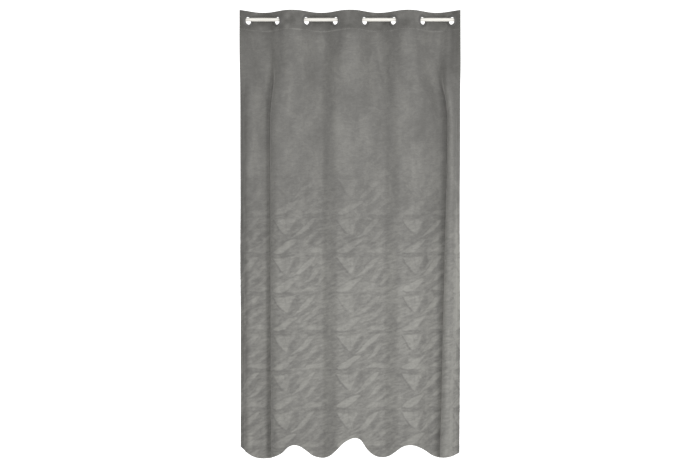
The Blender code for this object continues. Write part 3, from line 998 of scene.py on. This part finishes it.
def eyeletProfiles():
    # outlines of the ring, with its domed flange and its barrel, and of the clip behind the cloth
    e, face = eyelet, panel["stack"] / 2
    bore, barrel, crown = e["bore"], e["bore"] + e["barrelWall"], e["bore"] + e["lip"] + e["crownIn"]
    seat, base = -face - e["gap"], face + e["gap"]
    front, end = seat - e["flangeHeight"], base + e["clipHeight"] + e["pastClip"]
    ring = arc((bore + e["lip"], front + e["lip"]), e["lip"], 180, 270, 9)
    sunk = front + e["grooveDepth"]
    ring += [(crown - 0.0012, front), (crown - 0.0008, sunk), (crown - 0.0003, sunk), (crown, front)]
    for t in np.linspace(0, math.pi / 2, 12)[1:]:
        ring.append((crown + (e["flange"] - crown) * math.sin(t), seat - e["flangeHeight"] * math.cos(t)))
    ring += [(barrel, seat), (barrel, end)]
    ring += [(bore + 0.0005, end), (bore + 0.00015, end - 0.0003), (bore, end - 0.001)]
    inner, clipTop, turned = barrel + e["gap"], base + e["clipHeight"], e["clipRound"]
    sunk = clipTop - e["clipGroove"]
    clip = [(inner, base), (e["clip"], base)]
    clip += arc((e["clip"] - turned, clipTop - turned), turned, 0, 90, 6)
    clip += [(inner + 0.0030, clipTop), (inner + 0.0026, sunk), (inner + 0.0014, sunk)]
    clip += [(inner + 0.0010, clipTop), (inner, clipTop)]
    return ring, clip


def outward(outline):
    # the order in which turning this outline gives faces that point out of the material
    area = sum(a[0] * b[1] - b[0] * a[1] for a, b in zip(outline, outline[1:] + outline[:1]))
    return outline if area > 0 else outline[::-1]


headX, _, _ = planCurves(np.array([panel["eyeletBelowTop"]]))
for k, s in enumerate(eyeletPlaces):
    x = float(np.interp(s, fineS, headX[0]))
    turn = hang["foldAngle"] * (1 if k % 2 == 0 else -1)
    placing = Matrix.Translation((x, 0, eyeletZ)) @ Matrix.Rotation(turn, 4, "Z")
    piece = turnedRings(f"eyelet{k + 1}", [outward(p) for p in eyeletProfiles()], placing, eyeletFinish)
    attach(piece, f"pleat_{k + 1}")
    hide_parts(f"eyelet_front_{k + 1}", f"eyelet_clip_{k + 1}")
print("eyelets made")


# rod

rod = {"radius": 0.0095, "wall": 0.0010, "ease": 0.0003}


def rodPiece():
    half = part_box("curtain_rod")[1][0]
    r, w, ease = rod["radius"], rod["wall"], rod["ease"]
    outline = [
        (r, -half + ease), (r, half - ease), (r - ease, half), (r - w + ease, half),
        (r - w, half - ease), (r - w, -half + ease), (r - w + ease, -half), (r - ease, -half),
    ]
    lying = Matrix.Rotation(math.radians(-90), 4, "Z")
    return turnedRings("curtainRod", [outward(outline)], lying, rodFinish)


piece = rodPiece()
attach(piece, "rod")
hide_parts("curtain_rod")
print("rod made")


# each sheet of cloth, looked up by its name

for index, name in enumerate(pieceNames):
    piece = clothParts[name]


# floor, light and camera

sweep = {"floorRadius": 9.0, "bend": 2.0, "tall": 7.0, "sides": 72, "glow": 0.9}
roomLight = 0.58
softboxes = {  # place, what it is turned to, side and watts
    "keySoftbox": ((1.6, -3.2, -2.0), (0, 0, -1.6), 1.2, 66),
    "highFill": ((0.2, -4.0, -0.2), (0, 0, -0.4), 1.6, 48),
    "backSoftbox": ((-2.4, 4.0, -0.6), (0, 0, -1.2), 1.6, 95),
}


def sweepMaterial():
    # matt white studio paper, evenly lit from behind, so that it stays plain and pale from every side
    made, tree, shader = newMaterial("whitePaperSweep")
    place = addNode(tree, "ShaderNodeTexCoord").outputs["Object"]
    cloud = addNode(tree, "ShaderNodeTexNoise", values={"Scale": 0.8, "Detail": 2.0}, links={"Vector": place})
    colour = addNode(
        tree, "ShaderNodeValToRGB", links={"Fac": cloud.outputs["Fac"]},
        stops=[(0.3, "#f3f3f2"), (0.7, "#f7f7f6")],
    )
    setNode(
        tree, shader, links={"Base Color": colour.outputs[0]},
        values={"Roughness": 0.9, "Emission Color": (1, 1, 1, 1), "Emission Strength": sweep["glow"]},
    )
    return made


def paperSweep():
    # round floor that rises in a wide curve to a wall on every side
    outline = [(0.0, 0.0), (sweep["floorRadius"] / 2, 0.0)]
    bend, sides = sweep["bend"], sweep["sides"]
    for turn in np.radians(np.linspace(0, 90, 19)):
        outline.append((sweep["floorRadius"] + bend * math.sin(turn), bend - bend * math.cos(turn)))
    outline.append((sweep["floorRadius"] + bend, sweep["tall"]))
    floorZ = hemZ - room["floorBelowHem"]
    turns = np.linspace(0, 2 * math.pi, sides, endpoint=False)
    verts, faces = [(0, 0, floorZ)], []
    for radius, rise in outline[1:]:
        verts += [(radius * math.cos(t), radius * math.sin(t), floorZ + rise) for t in turns]
    for k in range(sides):
        after = (k + 1) % sides
        faces.append((0, 1 + k, 1 + after))
        for low in range(1, 1 + (len(outline) - 2) * sides, sides):
            faces.append((low + k, low + sides + k, low + sides + after, low + after))
    made = meshObject("paperSweep", verts, faces, (sweepMaterial(),))
    # the paper is only seen, the lamps and the room's own light do the lighting
    made.visible_diffuse = False
    made.visible_glossy = False
    return made


paperSweep()

scene = bpy.context.scene
world = bpy.data.worlds.new("whiteStudio")
world.use_nodes = True
setNode(
    world.node_tree, world.node_tree.nodes["Background"],
    values={"Color": (1, 1, 1, 1), "Strength": roomLight},
)
scene.world = world
scene.view_settings.view_transform = "Standard"

for name, (place, target, size, power) in softboxes.items():
    lamp = bpy.data.lights.new(name, "AREA")
    lamp.shape = "SQUARE"
    lamp.size = size
    lamp.energy = power
    box = linked(name, lamp)
    box.location = place
    box.rotation_euler = (Vector(target) - Vector(place)).to_track_quat("-Z", "Y").to_euler()

camera = bpy.data.cameras.new("camera")
camera.lens = camera.sensor_width * room["cameraBack"] / room["viewWidth"]
cameraObject = linked("camera", camera)
cameraObject.location = (0, -room["cameraBack"], room["cameraZ"])
cameraObject.rotation_euler = (math.radians(90), 0, 0)
scene.camera = cameraObject
print("stage set")
